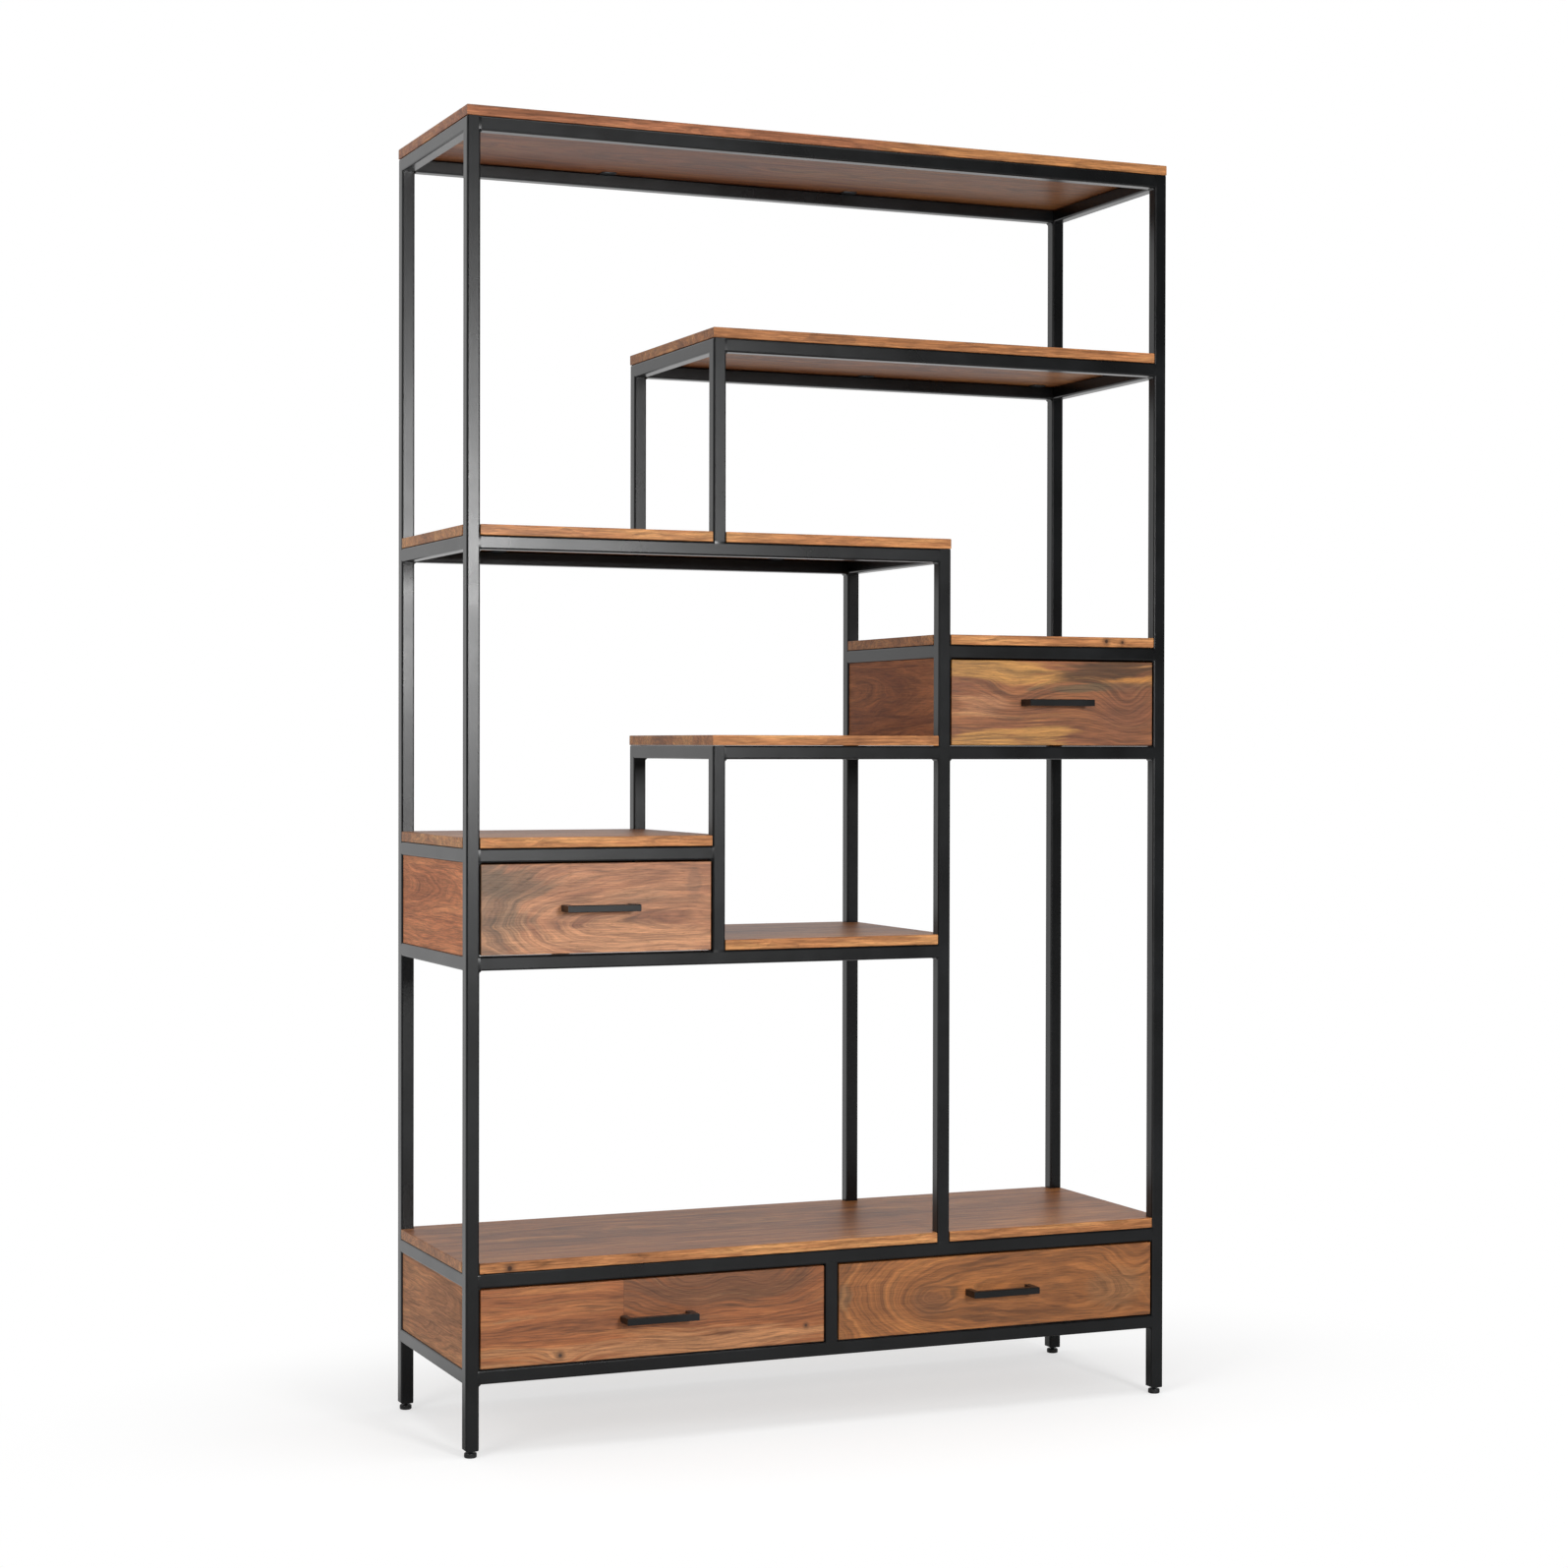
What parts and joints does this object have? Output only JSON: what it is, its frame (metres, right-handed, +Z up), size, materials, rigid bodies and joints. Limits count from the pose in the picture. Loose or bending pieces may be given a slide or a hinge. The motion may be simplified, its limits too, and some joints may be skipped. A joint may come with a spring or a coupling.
{
  "type": "bookcase",
  "caption": "Open bookcase of welded black square steel tube with stepped wooden shelves, inset drawers with bar handles and levelling feet.",
  "frame": {"origin": "on the floor, at the middle of the whole object's box", "axes": "+Z up, +X to the right as seen from the front, the drawers open towards -Y"},
  "size_m": [1.125, 0.379, 1.9],
  "materials": {
    "powder_coated_steel": "satin black powder coat",
    "handle_steel": "satin black powder coat",
    "shelf_wood": "brown lacquered hardwood staves, satin",
    "panel_wood": "brown lacquered hardwood, satin",
    "drawer_front_wood": "brown lacquered figured hardwood, satin",
    "inner_wood": "plain sealed wood",
    "foot_plastic": "black moulded glide"
  },
  "bodies": {
    "frame": {"left_end_frame": "powder_coated_steel", "right_end_frame": "powder_coated_steel", "upper_step_frame": "powder_coated_steel", "lower_step_frame": "powder_coated_steel", "column_frame": "powder_coated_steel", "centre_upright": "powder_coated_steel", "top_rail_front": "powder_coated_steel", "top_rail_back": "powder_coated_steel", "second_rail_front": "powder_coated_steel", "second_rail_back": "powder_coated_steel", "third_rail_front": "powder_coated_steel", "third_rail_back": "powder_coated_steel", "right_box_rail_front": "powder_coated_steel", "right_box_rail_back": "powder_coated_steel", "middle_rail_front": "powder_coated_steel", "middle_rail_back": "powder_coated_steel", "right_box_lower_rail_front": "powder_coated_steel", "right_box_lower_rail_back": "powder_coated_steel", "left_box_rail_front": "powder_coated_steel", "left_box_rail_back": "powder_coated_steel", "low_rail_front": "powder_coated_steel", "low_rail_back": "powder_coated_steel", "base_rail_front": "powder_coated_steel", "base_rail_back": "powder_coated_steel", "bottom_rail_front": "powder_coated_steel", "bottom_rail_back": "powder_coated_steel", "top_board": "shelf_wood", "second_board": "shelf_wood", "third_board": "shelf_wood", "right_box_board": "shelf_wood", "middle_board": "shelf_wood", "left_box_board": "shelf_wood", "low_board": "shelf_wood", "base_board": "shelf_wood", "left_box_outer_panel": "panel_wood", "left_box_inner_panel": "panel_wood", "right_box_inner_panel": "panel_wood", "right_box_outer_panel": "panel_wood", "base_left_panel": "panel_wood", "base_right_panel": "panel_wood", "base_partition": "panel_wood", "left_box_back": "inner_wood", "right_box_back": "inner_wood", "base_back": "inner_wood"},
    "left_drawer": {"left_drawer_front": "drawer_front_wood", "left_drawer_box": "inner_wood", "left_drawer_handle": "handle_steel"},
    "right_drawer": {"right_drawer_front": "drawer_front_wood", "right_drawer_box": "inner_wood", "right_drawer_handle": "handle_steel"},
    "base_left_drawer": {"base_left_drawer_front": "drawer_front_wood", "base_left_drawer_box": "inner_wood", "base_left_drawer_handle": "handle_steel"},
    "base_right_drawer": {"base_right_drawer_front": "drawer_front_wood", "base_right_drawer_box": "inner_wood", "base_right_drawer_handle": "handle_steel"},
    "foot_front_left": {"foot_front_left": "foot_plastic"},
    "foot_back_left": {"foot_back_left": "foot_plastic"},
    "foot_front_right": {"foot_front_right": "foot_plastic"},
    "foot_back_right": {"foot_back_right": "foot_plastic"}
  },
  "joints": [
    {"name": "left_drawer_slide", "type": "slide", "parent": "frame", "child": "left_drawer", "axis": [0, -1, 0], "range_m": [0, 0.24]},
    {"name": "right_drawer_slide", "type": "slide", "parent": "frame", "child": "right_drawer", "axis": [0, -1, 0], "range_m": [0, 0.24]},
    {"name": "base_left_drawer_slide", "type": "slide", "parent": "frame", "child": "base_left_drawer", "axis": [0, -1, 0], "range_m": [0, 0.24]},
    {"name": "base_right_drawer_slide", "type": "slide", "parent": "frame", "child": "base_right_drawer", "axis": [0, -1, 0], "range_m": [0, 0.24]},
    {"name": "foot_front_left_turn", "type": "hinge", "parent": "frame", "child": "foot_front_left", "pos_m": [-0.5525, -0.1505, 0], "axis": [0, 0, 1], "continuous": true},
    {"name": "foot_back_left_turn", "type": "hinge", "parent": "frame", "child": "foot_back_left", "pos_m": [-0.5525, 0.1795, 0], "axis": [0, 0, 1], "continuous": true},
    {"name": "foot_front_right_turn", "type": "hinge", "parent": "frame", "child": "foot_front_right", "pos_m": [0.5525, -0.1505, 0], "axis": [0, 0, 1], "continuous": true},
    {"name": "foot_back_right_turn", "type": "hinge", "parent": "frame", "child": "foot_back_right", "pos_m": [0.5525, 0.1795, 0], "axis": [0, 0, 1], "continuous": true}
  ]
}
